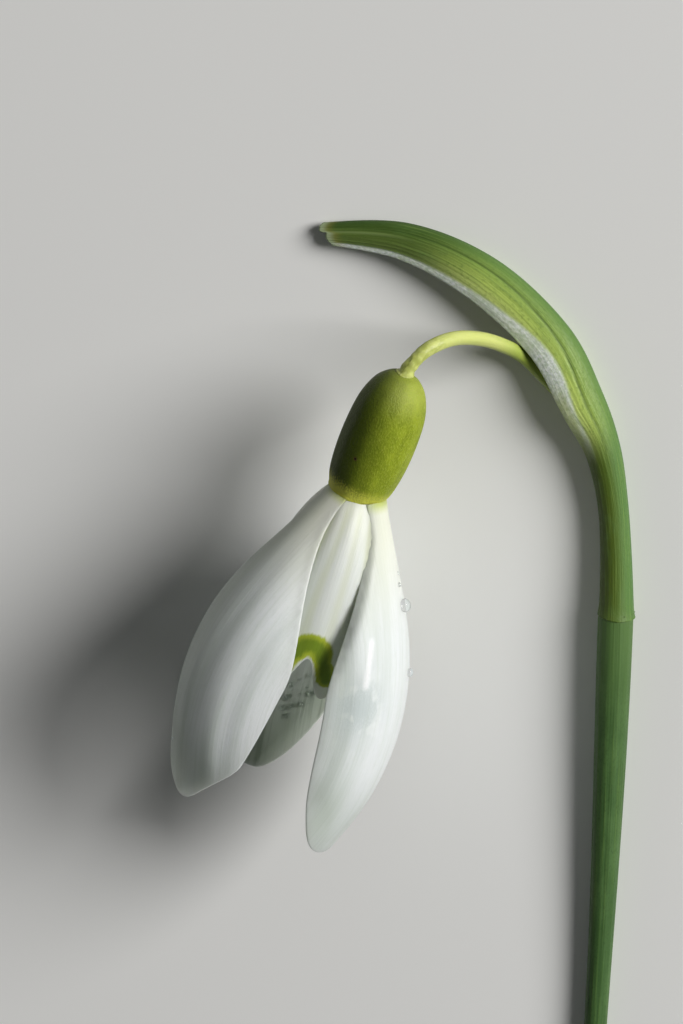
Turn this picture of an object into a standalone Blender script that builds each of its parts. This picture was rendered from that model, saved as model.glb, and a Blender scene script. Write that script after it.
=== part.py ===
"""A cut snowdrop flower, lying on a flat surface.

The design is written in millimetres, in a working frame whose origin is the node: the joint
where the leafless stem, the scape, ends and the spathe begins. +Y runs on from the scape into
the spathe, the flower head lies on the -X side, and z = 0 is the surface. MM turns the design
into metres. At the end the whole flower is moved so that its origin is the middle of its
bounding box, at the height of the surface.

The flower head has an empty of its own at the base of the perianth. There +Z runs towards the
mouth of the bell, +Y is the side that faces up, and an azimuth turns from +Y towards +X.
"""

import math
from dataclasses import dataclass

import bmesh
import bpy
from mathutils import Vector

MM = 0.001
GAP = 0.3  # between neighbouring pieces

# Scape: the leafless stem, thickest at the node, with a plain cut end
SCAPE_LENGTH = 45.0
SCAPE_SLOPE = 0.086  # sideways, for each millimetre along
SCAPE_BEND = 0.00057
SCAPE_NODE_RADIUS = 1.12
SCAPE_RADIUS = 0.72
SCAPE_TAPER_LENGTH = 30.0

# Spathe: the sheath above the node, a tube that opens into a channel along its concave side
SPATHE_PATH = [
    (0.05, 0.0),
    (0.2, 4.0),
    (0.15, 7.6),
    (-0.3, 11.0),
    (-1.45, 14.35),
    (-3.3, 18.15),
    (-7.3, 22.05),
    (-12.3, 24.45),
    (-17.9, 24.95),
]
SPATHE_WIDTHS = [2.25, 2.0, 1.95, 2.3, 2.75, 2.9, 2.9, 2.3, 0.8]
SPATHE_HEIGHTS = [2.25, 2.0, 1.95, 2.2, 2.4, 2.3, 2.0, 1.5, 0.8]
SPATHE_TUBE_SHARE = 0.34  # of its length, before the lips part
SPATHE_PARTING_SHARE = 0.15  # over which they part
SPATHE_OPEN_ANGLE = math.radians(56)
SPATHE_WALL = 0.35

# Pedicel: the thin stalk that leaves the channel and carries the flower head, as places and radii
PEDICEL_PATH = [
    (0.05, 0.6, 1.1, 0.34),
    (0.2, 4.0, 1.0, 0.34),
    (0.1, 8.0, 1.0, 0.36),
    (-0.6, 11.3, 1.1, 0.38),
    (-1.75, 13.3, 1.2, 0.42),
    (-3.5, 15.45, 1.2, 0.45),
    (-4.95, 17.05, 1.35, 0.46),
    (-6.05, 18.2, 2.85, 0.46),
    (-7.05, 19.05, 4.7, 0.46),
    (-8.25, 19.5, 6.5, 0.46),
    (-9.5, 19.25, 7.85, 0.46),
    (-10.45, 18.5, 8.4, 0.43),
]
PEDICEL_END_RADIUS = 0.55

# Flower head
HEAD_X = -14.6
HEAD_Y = 10.1
HEAD_TURN = math.radians(22.3)
HEAD_DROOP = math.radians(3.4)

# Ovary: the profile is a share of its length from the perianth, then a radius
OVARY_LENGTH = 8.4
OVARY_TILT = math.radians(2.4)
OVARY_PROFILE = [
    (0.0, 2.0),
    (0.1, 2.25),
    (0.28, 2.4),
    (0.5, 2.4),
    (0.72, 2.22),
    (0.88, 1.75),
    (0.97, 1.1),
    (1.0, 0.6),
]

# Outer tepals: the midrib's curve is set by the root, shoulder, belly and tip, each a distance
# along the bell's axis and a radius from it; the cup is the curve across
OUTER_WALL = 0.42
OUTER_ROOT_RADIUS = 1.85
OUTER_SHOULDER = (7.1, 5.8)
OUTER_BELLY = (12.3, 10.2)
OUTER_CLAW = 1.4
OUTER_WIDEST_AT = 0.55
OUTER_TIP_POWER = 0.44
OUTER_CUP_RADIUS = 4.8
OUTER_CUPPED_AT = 0.5

# Inner tepals: the same, with a notch in the middle of the far edge and rounded corners
INNER_WALL = 0.35
INNER_ROOT_RADIUS = 1.2
INNER_SHOULDER = (3.3, 3.05)
INNER_BELLY = (7.9, 4.1)
INNER_MOUTH = (13.1, 4.1)
INNER_CLAW = 0.95
INNER_HALF_WIDTH = 3.1
INNER_WIDEST_AT = 0.75
INNER_CUP_RADIUS = 3.3
INNER_CUPPED_AT = 0.6
INNER_NOTCH = 0.19
INNER_NOTCH_WIDTH = 0.3
INNER_CORNER = 0.13

# Stamens and style: a radius from the axis, a distance along it, then a thickness
STAMEN_COUNT = 6
STAMEN_PATH = [
    (0.62, GAP, 0.14),
    (0.86, 1.2, 0.14),
    (1.0, 1.9, 0.34),
    (1.02, 3.4, 0.4),
    (0.9, 5.2, 0.3),
    (0.74, 6.9, 0.07),
]
STYLE_PATH = [(0.0, GAP, 0.2), (0.0, 4.5, 0.2), (0.0, 8.6, 0.24), (0.0, 9.3, 0.14)]

# Mesh fineness
OUTER_ROWS, OUTER_COLUMNS = 18, 10
INNER_ROWS, INNER_COLUMNS = 12, 8
SPATHE_STEPS, SPATHE_COLUMNS = 4, 14
SCAPE_RINGS = 14
OVARY_SIDES = 20
PEDICEL_STEPS = 4
PROFILE_STEPS = 2
STEM_RESOLUTION = 3
STAMEN_RESOLUTION = 1
MERGE_DISTANCE = 1e-7

# Colour and roughness
FINISHES = {
    "scape": ((0.13, 0.24, 0.07), 0.5),
    "spathe": ((0.27, 0.38, 0.12), 0.5),
    "pedicel": ((0.52, 0.60, 0.18), 0.45),
    "ovary": ((0.22, 0.33, 0.04), 0.5),
    "outer_tepal": ((0.85, 0.87, 0.86), 0.5),
    "inner_tepal": ((0.83, 0.85, 0.75), 0.5),
    "stamen": ((0.85, 0.48, 0.08), 0.6),
    "style": ((0.78, 0.80, 0.60), 0.5),
}


@dataclass
class OuterTepal:
    """One outer tepal: azimuth in degrees, lengths in millimetres."""

    azimuth: float
    reach: float
    tip_radius: float
    half_width: float
    lean: float


OUTER_TEPALS = {
    "outer_tepal_left": OuterTepal(azimuth=-46.5, reach=21.9, tip_radius=5.5, half_width=6.3, lean=0.4),
    "outer_tepal_right": OuterTepal(azimuth=73.5, reach=22.5, tip_radius=6.4, half_width=5.6, lean=-1.0),
    "outer_tepal_back": OuterTepal(azimuth=200.0, reach=22.1, tip_radius=4.4, half_width=5.6, lean=-0.5),
}
INNER_TEPALS = {
    "inner_tepal_front": 13.5,
    "inner_tepal_back_right": 136.5,
    "inner_tepal_back_left": 256.5,
}


def clear_scene():
    for obj in list(bpy.data.objects):
        bpy.data.objects.remove(obj, do_unlink=True)


def plant_material(name, color, roughness):
    material = bpy.data.materials.new(name)
    material.use_nodes = True
    shader = material.node_tree.nodes["Principled BSDF"]
    shader.inputs["Base Color"].default_value = (*color, 1.0)
    shader.inputs["Roughness"].default_value = roughness
    shader.inputs["Metallic"].default_value = 0.0
    return material


def smoothstep(x):
    x = min(max(x, 0.0), 1.0)
    return x * x * (3 - 2 * x)


def catmull_rom(points, steps):
    """Points on a smooth curve through the given ones, with steps to each span.

    The points may hold any number of values each, such as a place and a radius.
    """
    last = len(points) - 1
    path = []
    for i in range(last):
        before, start = points[max(i - 1, 0)], points[i]
        end, after = points[i + 1], points[min(i + 2, last)]
        for step in range(steps):
            t = step / steps
            path.append(
                tuple(
                    b + 0.5 * t * (c - a + t * (2 * a - 5 * b + 4 * c - d + t * (3 * b - 3 * c + d - a)))
                    for a, b, c, d in zip(before, start, end, after)
                )
            )
    path.append(tuple(points[last]))
    return path


def bezier(points, t):
    """The place on a plane cubic curve, and its unit tangent."""
    a, b, c, d = (Vector(point) for point in points)
    s = 1 - t
    place = a * s**3 + b * 3 * s * s * t + c * 3 * s * t * t + d * t**3
    tangent = (b - a) * s * s + (c - b) * 2 * s * t + (d - c) * t * t
    return place, tangent.normalized()


def link(name, data, material, parent):
    obj = bpy.data.objects.new(name, data)
    bpy.context.collection.objects.link(obj)
    data.materials.append(material)
    obj.parent = parent
    return obj


def empty(name, parent=None):
    obj = bpy.data.objects.new(name, None)
    bpy.context.collection.objects.link(obj)
    obj.parent = parent
    return obj


def tube(name, stations, resolution, material, parent):
    """A round solid along stations of (x, y, z, radius)."""
    curve = bpy.data.curves.new(name, "CURVE")
    curve.dimensions = "3D"
    curve.bevel_depth = MM
    curve.bevel_resolution = resolution
    curve.use_fill_caps = True
    spline = curve.splines.new("POLY")
    spline.points.add(len(stations) - 1)
    for point, (x, y, z, radius) in zip(spline.points, stations):
        point.co = (x * MM, y * MM, z * MM, 1.0)
        point.radius = radius
    spline.use_smooth = True
    return link(name, curve, material, parent)


def sheet(name, rows, thickness, material, parent):
    """A shell whose outer side is the grid of rows, made solid towards its inner side.

    Points of the grid that coincide become one, which closes a tube's seam or a pointed tip.
    """
    bm = bmesh.new()
    grid = [[bm.verts.new(point * MM) for point in row] for row in rows]
    for near, far in zip(grid, grid[1:]):
        for j in range(len(near) - 1):
            bm.faces.new((near[j], far[j], far[j + 1], near[j + 1]))
    bmesh.ops.remove_doubles(bm, verts=bm.verts, dist=MERGE_DISTANCE)
    mesh = bpy.data.meshes.new(name)
    bm.to_mesh(mesh)
    bm.free()
    mesh.shade_smooth()
    obj = link(name, mesh, material, parent)
    solidify = obj.modifiers.new("wall", "SOLIDIFY")
    solidify.thickness = thickness * MM
    solidify.offset = -1.0
    solidify.use_even_offset = True
    return obj


def scape_stations():
    """From the node down to the cut end, resting on the surface all the way."""
    stations = []
    for i in range(SCAPE_RINGS + 1):
        along = SCAPE_LENGTH * i / SCAPE_RINGS
        taper = smoothstep(along / SCAPE_TAPER_LENGTH)
        radius = SCAPE_NODE_RADIUS + (SCAPE_RADIUS - SCAPE_NODE_RADIUS) * taper
        x = -SCAPE_SLOPE * along - SCAPE_BEND * along**2
        stations.append((x, -along, radius, radius))
    return stations


def spathe_rows():
    """The sheath's outer side, row by row from the node to the tip.

    Each row goes round a flattened ring from one lip on the concave side to the other. Along
    the tube the lips meet, and along the channel they stand apart. A width is what is left
    from the lips to the convex side.
    """
    controls = [(x, y, w, h) for (x, y), w, h in zip(SPATHE_PATH, SPATHE_WIDTHS, SPATHE_HEIGHTS)]
    stations = catmull_rom(controls, SPATHE_STEPS)
    last = len(stations) - 1
    rows = []
    for i, (x, y, width, height) in enumerate(stations):
        before, after = stations[max(i - 1, 0)], stations[min(i + 1, last)]
        along = Vector((after[0] - before[0], after[1] - before[1], 0)).normalized()
        outward = Vector((along.y, -along.x, 0))
        opening = SPATHE_OPEN_ANGLE * smoothstep((i / last - SPATHE_TUBE_SHARE) / SPATHE_PARTING_SHARE)
        reach = width / (1 + math.cos(opening))
        middle = Vector((x, y + GAP * (1 - i / last), height / 2)) + outward * (width / 2 - reach)
        row = []
        for j in range(SPATHE_COLUMNS + 1):
            angle = (math.pi - opening) * (2 * j / SPATHE_COLUMNS - 1)
            rise = Vector((0, 0, height / 2 * math.sin(angle)))
            row.append(middle + outward * (reach * math.cos(angle)) + rise)
        rows.append(row)
    return rows


def tepal_place(profile, cup_radius, azimuth, half_width, along, across, lean=0.0):
    """A place on a tepal's outer side, in the flower head's frame.

    profile is the midrib in the plane of the bell's axis: distance along the axis, then radius.
    From the midrib the tepal curves round towards the axis with the cup radius.
    """
    (depth, radius), tangent = bezier(profile, along)
    angle = across * half_width / cup_radius
    sink = cup_radius * (1 - math.cos(angle))
    depth += tangent.y * sink
    radius -= tangent.x * sink
    sideways = cup_radius * math.sin(angle) + lean * along**2
    x = radius * math.sin(azimuth) + sideways * math.cos(azimuth)
    y = radius * math.cos(azimuth) - sideways * math.sin(azimuth)
    return Vector((x, y, depth))


def outer_tepal_rows(tepal):
    """Claw, broad blade and round tip of an outer tepal."""
    profile = [(GAP, OUTER_ROOT_RADIUS), OUTER_SHOULDER, OUTER_BELLY, (tepal.reach, tepal.tip_radius)]
    rows = []
    for i in range(OUTER_ROWS + 1):
        along = math.sin(math.pi / 2 * i / OUTER_ROWS)
        if along < OUTER_WIDEST_AT:
            widening = smoothstep(along / OUTER_WIDEST_AT)
            spread = OUTER_CLAW + (tepal.half_width - OUTER_CLAW) * widening
        else:
            beyond = (along - OUTER_WIDEST_AT) / (1 - OUTER_WIDEST_AT)
            spread = tepal.half_width * max(1 - beyond**2, 0.0) ** OUTER_TIP_POWER
        cupping = smoothstep(along / OUTER_CUPPED_AT)
        cup = OUTER_ROOT_RADIUS + (OUTER_CUP_RADIUS - OUTER_ROOT_RADIUS) * cupping
        azimuth = math.radians(tepal.azimuth)
        rows.append(
            [
                tepal_place(profile, cup, azimuth, spread, along, 2 * j / OUTER_COLUMNS - 1, tepal.lean)
                for j in range(OUTER_COLUMNS + 1)
            ]
        )
    return rows


def inner_tepal_rows(azimuth):
    """A short inner tepal, with its notch between two round lobes."""
    profile = [(GAP, INNER_ROOT_RADIUS), INNER_SHOULDER, INNER_BELLY, INNER_MOUTH]
    rows = []
    for i in range(INNER_ROWS + 1):
        even = i / INNER_ROWS
        cupping = smoothstep(even / INNER_CUPPED_AT)
        cup = INNER_ROOT_RADIUS + (INNER_CUP_RADIUS - INNER_ROOT_RADIUS) * cupping
        widening = smoothstep(even / INNER_WIDEST_AT)
        spread = INNER_CLAW + (INNER_HALF_WIDTH - INNER_CLAW) * widening
        row = []
        for j in range(INNER_COLUMNS + 1):
            across = 2 * j / INNER_COLUMNS - 1
            notch = INNER_NOTCH * math.exp(-((across / INNER_NOTCH_WIDTH) ** 2))
            corner = INNER_CORNER * across**4
            along = even * (1 - (notch + corner) * even**3)
            row.append(tepal_place(profile, cup, math.radians(azimuth), spread, along, across))
        rows.append(row)
    return rows


def add_ovary(head, material):
    """The seed capsule behind the perianth: a profile turned about its own axis."""
    bm = bmesh.new()
    controls = [(share * OVARY_LENGTH, radius) for share, radius in OVARY_PROFILE]
    outline = catmull_rom(controls, PROFILE_STEPS)
    axis = [(outline[0][0], 0.0), *outline, (outline[-1][0], 0.0)]
    profile = [bm.verts.new(Vector((radius, 0, -depth)) * MM) for depth, radius in axis]
    edges = [bm.edges.new(pair) for pair in zip(profile, profile[1:])]
    bmesh.ops.spin(
        bm,
        geom=profile + edges,
        cent=(0, 0, 0),
        axis=(0, 0, 1),
        angle=2 * math.pi,
        steps=OVARY_SIDES,
        use_merge=True,
    )
    bmesh.ops.remove_doubles(bm, verts=bm.verts, dist=MERGE_DISTANCE)
    bmesh.ops.recalc_face_normals(bm, faces=bm.faces)
    mesh = bpy.data.meshes.new("ovary")
    bm.to_mesh(mesh)
    bm.free()
    mesh.shade_smooth()
    ovary = link("ovary", mesh, material, head)
    ovary.rotation_euler = (0, -OVARY_TILT, 0)
    return ovary


def add_stamens(head, material):
    """Anthers on short filaments, standing in a cone round the style."""
    for i in range(STAMEN_COUNT):
        azimuth = 2 * math.pi * (i + 0.5) / STAMEN_COUNT
        stations = [
            (radius * math.sin(azimuth), radius * math.cos(azimuth), depth, thickness)
            for radius, depth, thickness in catmull_rom(STAMEN_PATH, PROFILE_STEPS)
        ]
        tube(f"stamen_{i + 1}", stations, STAMEN_RESOLUTION, material, head)


def add_style(head, material):
    path = catmull_rom(STYLE_PATH, PROFILE_STEPS)
    stations = [(x, 0.0, depth, thickness) for x, depth, thickness in path]
    tube("style", stations, STAMEN_RESOLUTION, material, head)


def places(objects):
    """Every vertex of the objects' finished meshes, in world space."""
    bpy.context.view_layer.update()
    graph = bpy.context.evaluated_depsgraph_get()
    found = []
    for obj in objects:
        finished = obj.evaluated_get(graph)
        mesh = finished.to_mesh()
        found += [finished.matrix_world @ vertex.co for vertex in mesh.vertices]
        finished.to_mesh_clear()
    return found


def add_flower_head(root, materials):
    """The ovary and the perianth, lowered until the lowest tepal rests on the surface."""
    head = empty("head", root)
    head.location = (HEAD_X * MM, HEAD_Y * MM, 0)
    head.rotation_euler = (math.radians(90) + HEAD_DROOP, 0, -HEAD_TURN)
    ovary = add_ovary(head, materials["ovary"])
    outer = [
        sheet(name, outer_tepal_rows(tepal), OUTER_WALL, materials["outer_tepal"], head)
        for name, tepal in OUTER_TEPALS.items()
    ]
    for name, azimuth in INNER_TEPALS.items():
        sheet(name, inner_tepal_rows(azimuth), INNER_WALL, materials["inner_tepal"], head)
    add_stamens(head, materials["stamen"])
    add_style(head, materials["style"])
    head.location.z = -min(place.z for place in places(outer))
    return ovary


def add_pedicel(root, ovary, material):
    """The stalk, from inside the spathe's tube to the middle of the ovary's far end."""
    bpy.context.view_layer.update()
    far_end = ovary.matrix_world @ (Vector((0, 0, -OVARY_LENGTH - GAP)) * MM) / MM
    controls = [*PEDICEL_PATH, (*far_end, PEDICEL_END_RADIUS)]
    tube("pedicel", catmull_rom(controls, PEDICEL_STEPS), STEM_RESOLUTION, material, root)


def centre_on_footprint(root):
    """Moves the flower so that the origin is under the middle of its bounding box."""
    everywhere = places([obj for obj in bpy.data.objects if obj.type != "EMPTY"])
    lowest = [min(place[axis] for place in everywhere) for axis in range(3)]
    highest = [max(place[axis] for place in everywhere) for axis in range(3)]
    root.location = (-(lowest[0] + highest[0]) / 2, -(lowest[1] + highest[1]) / 2, -lowest[2])


def main():
    clear_scene()
    materials = {name: plant_material(name, *finish) for name, finish in FINISHES.items()}
    root = empty("snowdrop")
    tube("scape", scape_stations(), STEM_RESOLUTION, materials["scape"], root)
    sheet("spathe", spathe_rows(), SPATHE_WALL, materials["spathe"], root)
    ovary = add_flower_head(root, materials)
    add_pedicel(root, ovary, materials["pedicel"])

    centre_on_footprint(root)


main()
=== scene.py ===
"""The looks of the cut snowdrop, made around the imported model.

Lengths are in millimetres, in the working frame of the part's design: the origin is the node,
where the scape ends and the spathe begins, +Y runs on into the spathe, the flower head lies on
the -X side, and z = 0 is the surface. MM turns them into metres. The flower head has axes of its
own at the base of the perianth: +Z runs towards the mouth of the bell, +Y is the side that faces
up, and an azimuth turns from +Y towards +X. Each piece follows the outer side of the CAD node
that it replaces, and adds what the solid leaves out: ribs, veins, rims, wrinkles and drops.
"""

import math
from dataclasses import dataclass

import bmesh
import bpy
import numpy as np
from mathutils import Matrix, Vector


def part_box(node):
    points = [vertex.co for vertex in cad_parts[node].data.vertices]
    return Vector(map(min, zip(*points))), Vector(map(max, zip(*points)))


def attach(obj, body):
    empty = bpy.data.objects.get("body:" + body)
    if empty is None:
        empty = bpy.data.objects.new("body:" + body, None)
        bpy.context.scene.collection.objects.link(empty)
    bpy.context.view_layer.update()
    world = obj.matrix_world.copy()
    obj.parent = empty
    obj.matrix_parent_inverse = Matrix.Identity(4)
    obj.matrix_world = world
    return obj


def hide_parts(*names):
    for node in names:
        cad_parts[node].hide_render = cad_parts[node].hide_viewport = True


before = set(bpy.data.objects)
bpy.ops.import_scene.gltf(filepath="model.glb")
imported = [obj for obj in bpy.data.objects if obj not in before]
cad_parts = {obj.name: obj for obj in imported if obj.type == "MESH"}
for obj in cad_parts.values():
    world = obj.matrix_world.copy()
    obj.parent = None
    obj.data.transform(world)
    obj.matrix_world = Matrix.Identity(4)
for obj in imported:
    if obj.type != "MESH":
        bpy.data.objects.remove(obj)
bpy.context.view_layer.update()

MM = 0.001
OVERLAP = 0.15  # of neighbours, where the solids leave a gap

# Scape: the leafless stem, thickest at the node, with a plain cut end
SCAPE_LENGTH = 45.0
SCAPE_SLOPE = 0.086  # sideways, for each millimetre along
SCAPE_BEND = 0.00057
SCAPE_NODE_RADIUS = 1.12
SCAPE_RADIUS = 0.72
SCAPE_TAPER_LENGTH = 30.0
SCAPE_RIBS = 11
SCAPE_INSIDE = 0.6  # how far it runs up inside the spathe

# Spathe: the sheath above the node, a tube that opens into a channel along its concave side
SPATHE_STATIONS = [  # x, y, width, height
    (0.05, 0.0, 2.25, 2.25),
    (0.2, 4.0, 2.0, 2.0),
    (0.15, 7.6, 1.95, 1.95),
    (-0.3, 11.0, 2.3, 2.2),
    (-1.45, 14.35, 2.75, 2.4),
    (-3.3, 18.15, 2.9, 2.3),
    (-7.3, 22.05, 2.9, 2.0),
    (-12.3, 24.45, 2.3, 1.5),
    (-17.9, 24.95, 1.3, 0.9),
]
SPATHE_TUBE_SHARE = 0.34
SPATHE_PARTING_SHARE = 0.15
SPATHE_OPEN_ANGLE = math.radians(56)
SPATHE_LENGTH = 35.0  # along its curve
SPATHE_STEP = 0.002  # of its length, to find which way it runs
SPATHE_WALL = 0.35
SPATHE_GRAIN_RADIUS = 1.2
SPATHE_VEINS = 19  # on each side of the keel
SPATHE_SEAM = 0.51  # where the tip's lobes part, as a share from keel to lip
MEMBRANE_WALL = 0.12

# Pedicel: the thin stalk, as places and radii
PEDICEL_STATIONS = [
    (0.05, 0.6, 1.1, 0.34),
    (0.2, 4.0, 1.0, 0.34),
    (0.1, 8.0, 1.0, 0.36),
    (-0.6, 11.3, 1.1, 0.38),
    (-1.75, 13.3, 1.2, 0.42),
    (-3.5, 15.45, 1.2, 0.45),
    (-4.95, 17.05, 1.35, 0.46),
    (-6.05, 18.2, 2.85, 0.46),
    (-7.05, 19.05, 4.7, 0.46),
    (-8.25, 19.5, 6.5, 0.46),
    (-9.5, 19.25, 7.85, 0.46),
    (-10.45, 18.5, 8.4, 0.43),
]
PEDICEL_END_RADIUS = 0.55
WRINKLED_FROM = 0.80

# Flower head
HEAD_TURN = math.radians(22.3)
HEAD_DROOP = math.radians(3.4)

# Ovary: a share of its length from the perianth, then a radius
OVARY_LENGTH = 8.4
OVARY_TILT = math.radians(2.4)
OVARY_SLIP = 0.15  # how far its base is pulled to the left, and drawn in
PINHOLE = (-0.62, 2.32, 3.35)  # a puncture in its skin, in its grain
OVARY_PROFILE = [
    (0.0, 2.0),
    (0.1, 2.25),
    (0.28, 2.4),
    (0.5, 2.4),
    (0.72, 2.22),
    (0.88, 1.75),
    (0.97, 1.1),
    (1.0, 0.6),
]
OVARY_FOOT = [(-0.035, 1.2), (-0.045, 1.6), (-0.035, 1.86), (-0.012, 1.99)]  # the fringe at its base

# Outer tepals: the midrib's root, shoulder, belly and tip, as a distance along the bell's axis
# and a radius from it
OUTER_ROOT = (-OVERLAP, 1.8)
OUTER_SHOULDER = (7.1, 5.8)
OUTER_BELLY = (12.3, 10.2)
OUTER_ROOT_CUP = 1.85
OUTER_CLAW = 1.4
OUTER_WIDEST_AT = 0.55
OUTER_TIP_FROM = 0.86
OUTER_CUP = 4.8
OUTER_CUPPED_AT = 0.5
OUTER_WALL = 0.42

# Inner tepals: the same, with a notch in the middle of the far edge and rounded corners
INNER_ROOT = (-OVERLAP, 1.55)
INNER_SHOULDER = (3.0, 4.15)
INNER_BELLY = (7.9, 4.35)
INNER_MOUTH = (13.1, 4.1)
INNER_ROOT_CUP = 1.9
INNER_CLAW = 1.6
INNER_HALF_WIDTH = 3.1
INNER_WIDEST_AT = 0.6
INNER_CUP = 3.3
INNER_CUPPED_AT = 0.6
INNER_NOTCH = 0.19
INNER_NOTCH_WIDTH = 0.3
INNER_CORNER = 0.13
INNER_WALL = 0.35
INNER_RIBS = 4
INNER_RIB_HEIGHT = 0.018
INNER_AZIMUTHS = {
    "inner_tepal_front": 13.5,
    "inner_tepal_back_right": 136.5,
    "inner_tepal_back_left": 256.5,
}

# The green mark on an inner tepal: its distance from the notch, its width and where it ends
MARK_DISTANCE = 0.85
MARK_WIDTH = 0.75
MARK_END = 0.89

# Rims of the sheets: the edge's thickness as a share of the wall, how far in from it the wall is
# full, and how wide the rounding is
EDGE_SHARE = 0.4
OUTER_EDGE_WIDTH = 1.5
INNER_EDGE_WIDTH = 1.2
RIM_WIDTH = 0.12
STREAK_HEIGHT = 0.08  # of the standing water on the right tepal

# Stamens and style: a radius from the axis, a distance along it, then a thickness
STAMEN_COUNT = 6
STAMEN_STATIONS = [
    (0.62, -0.1, 0.14),
    (0.86, 1.2, 0.14),
    (1.0, 1.9, 0.34),
    (1.02, 3.4, 0.4),
    (0.9, 5.2, 0.3),
    (0.74, 6.9, 0.07),
]
STYLE_STATIONS = [(0.0, -0.1, 0.2), (0.0, 4.5, 0.2), (0.0, 8.6, 0.24), (0.0, 9.3, 0.14)]
STYLE_MIDDLE = 4.8  # of the solid, from the base of the perianth

# Dew: how high a drop's middle stands off the blade and half its height, as shares of its radius
DROP_LIFT = 0.4
DROP_HALF_HEIGHT = 0.8

# Beads: the fine drops on the rear outer tepal's inner side, round a middle
BEAD_COUNT = 16
BEAD_ALONG = 0.82
BEAD_ACROSS = -0.35
BEAD_SPREAD_ALONG = 0.07
BEAD_SPREAD_ACROSS = 0.28
BEAD_RADIUS = 0.13
BEAD_VARIATION = 0.07
GOLDEN_ANGLE = math.radians(137.5)

# Fineness of the meshes
OUTER_ROWS, OUTER_COLUMNS = 150, 96
INNER_ROWS, INNER_COLUMNS = 100, 72
SPATHE_ROWS, SPATHE_COLUMNS = 300, 96
SCAPE_ROWS, SCAPE_SIDES = 300, 48
OVARY_ROWS, OVARY_SIDES = 130, 120
PEDICEL_ROWS, PEDICEL_SIDES = 360, 32
STAMEN_ROWS, STAMEN_SIDES = 60, 20
DEW_ROWS, DEW_SIDES = 20, 24
CAP_RINGS = np.array([0.97, 0.85, 0.6, 0.3, 0.0])  # that close a tube's end, as shares of its radius
MERGE_DISTANCE = 1e-4
UV_MARGIN = 0.01
INNER_SIDE_GRAIN = 1.7  # sets a sheet's inner pattern off from its outer one

# Camera: turned from straight above, and how far the middle of the view lies from the head's base
CAMERA_TILT = math.radians(-15)
CAMERA_ROLL = math.radians(13)
CAMERA_RIGHT = -1.06
CAMERA_UP = -1.34
CAMERA_DISTANCE = 500.0
VIEW_HEIGHT = 64.0
SENSOR = 36.0

# Floor, in metres
FLOOR_COLOUR = (0.92, 0.92, 0.91)
FLOOR_SIZE = 3.0
FLOOR_Z = -0.00001

# Lights: a name, a place and a size in metres, watts and a colour
LIGHTS = [
    ("key", (0.86, 0.30, 0.52), 0.55, 12.4, (1.0, 0.99, 0.97)),
    ("fill", (-0.30, -0.20, 0.50), 0.40, 0.04, (0.95, 1.0, 0.96)),
]
WORLD_COLOUR = (0.97, 1.0, 0.98)
WORLD_LIGHT = 0.06  # on the flower
BACKDROP_LIGHT = 0.5  # behind it, above the floor's far edge


@dataclass
class OuterTepal:
    """One outer tepal: azimuth in degrees, lengths in millimetres.

    The tip powers shape the outline from the widest place to the tip, on the across = -1 side
    and on the +1 side, and fullness keeps it wide for longer. tip_sweep carries the tip sideways,
    and tip_hook its very end, where tip_taper narrows it, as a share. For each side too, the claw
    trims are how much narrower the claw is, as a share, and the hems are how far the margin near
    the claw rolls out. ribs is their height, and seed sets their pattern. The part up to shaded
    across, and the end towards the tip, get painted shade: a darker, greener tone.
    """

    azimuth: float
    reach: float
    tip_radius: float
    half_width: float
    lean: float
    tip_powers: tuple
    fullness: float
    ribs: float
    seed: float
    tip_sweep: float = 0.0
    tip_hook: float = 0.0
    tip_taper: float = 0.0
    claw_trims: tuple = (0.0, 0.0)
    hems: tuple = (0.0, 0.0)
    shaded: float = 0.0
    wet: bool = False


OUTER_TEPALS = {
    "outer_tepal_left": OuterTepal(
        azimuth=-47.5,
        reach=22.1,
        tip_radius=5.5,
        half_width=6.2,
        lean=0.6,
        tip_powers=(0.55, 0.41),
        fullness=2.2,
        ribs=0.05,
        seed=0.0,
        tip_sweep=-0.2,
        tip_hook=-0.4,
        tip_taper=0.35,
        claw_trims=(0.0, 0.1),
        hems=(0.0, 0.09),
        shaded=0.5,
    ),
    "outer_tepal_right": OuterTepal(
        azimuth=73.0,
        reach=22.5,
        tip_radius=6.4,
        half_width=5.45,
        lean=-1.0,
        tip_powers=(0.4, 0.4),
        fullness=3.0,
        ribs=0.04,
        seed=2.1,
        tip_sweep=0.5,
        tip_hook=-0.5,
        tip_taper=0.1,
        claw_trims=(0.05, 0.0),
        hems=(-0.32, 0.0),
        shaded=-0.2,
        wet=True,
    ),
    "outer_tepal_back": OuterTepal(
        azimuth=200.0,
        reach=22.1,
        tip_radius=4.4,
        half_width=5.6,
        lean=-0.5,
        tip_powers=(0.64, 0.44),
        fullness=2.0,
        ribs=0.05,
        seed=4.3,
    ),
}


@dataclass
class Drop:
    """A drop of water: its outer tepal, the shares along it and across it, and a radius."""

    tepal: str
    along: float
    across: float
    radius: float


DEW = [
    Drop("outer_tepal_right", 0.289, 0.26, 0.43),
    Drop("outer_tepal_right", 0.491, 0.31, 0.27),
    Drop("outer_tepal_right", 0.228, 0.22, 0.14),
    Drop("outer_tepal_right", 0.198, 0.30, 0.11),
    Drop("outer_tepal_left", 0.881, -0.30, 0.12),
]


# Curves and grids


def smoothstep(x):
    """Smoothly from 0 to 1 as x goes from 0 to 1, and flat outside."""
    x = np.clip(x, 0.0, 1.0)
    return x * x * (3 - 2 * x)


def rise(x, start, width):
    """0 up to the start, then smoothly up to 1 over the width."""
    return smoothstep((x - start) / width)


def bell(x, middle, width):
    """1 at the middle, and almost 0 from twice the width on."""
    return np.exp(-(((x - middle) / width) ** 2))


def blend(start, end, share):
    return start + (end - start) * share


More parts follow.
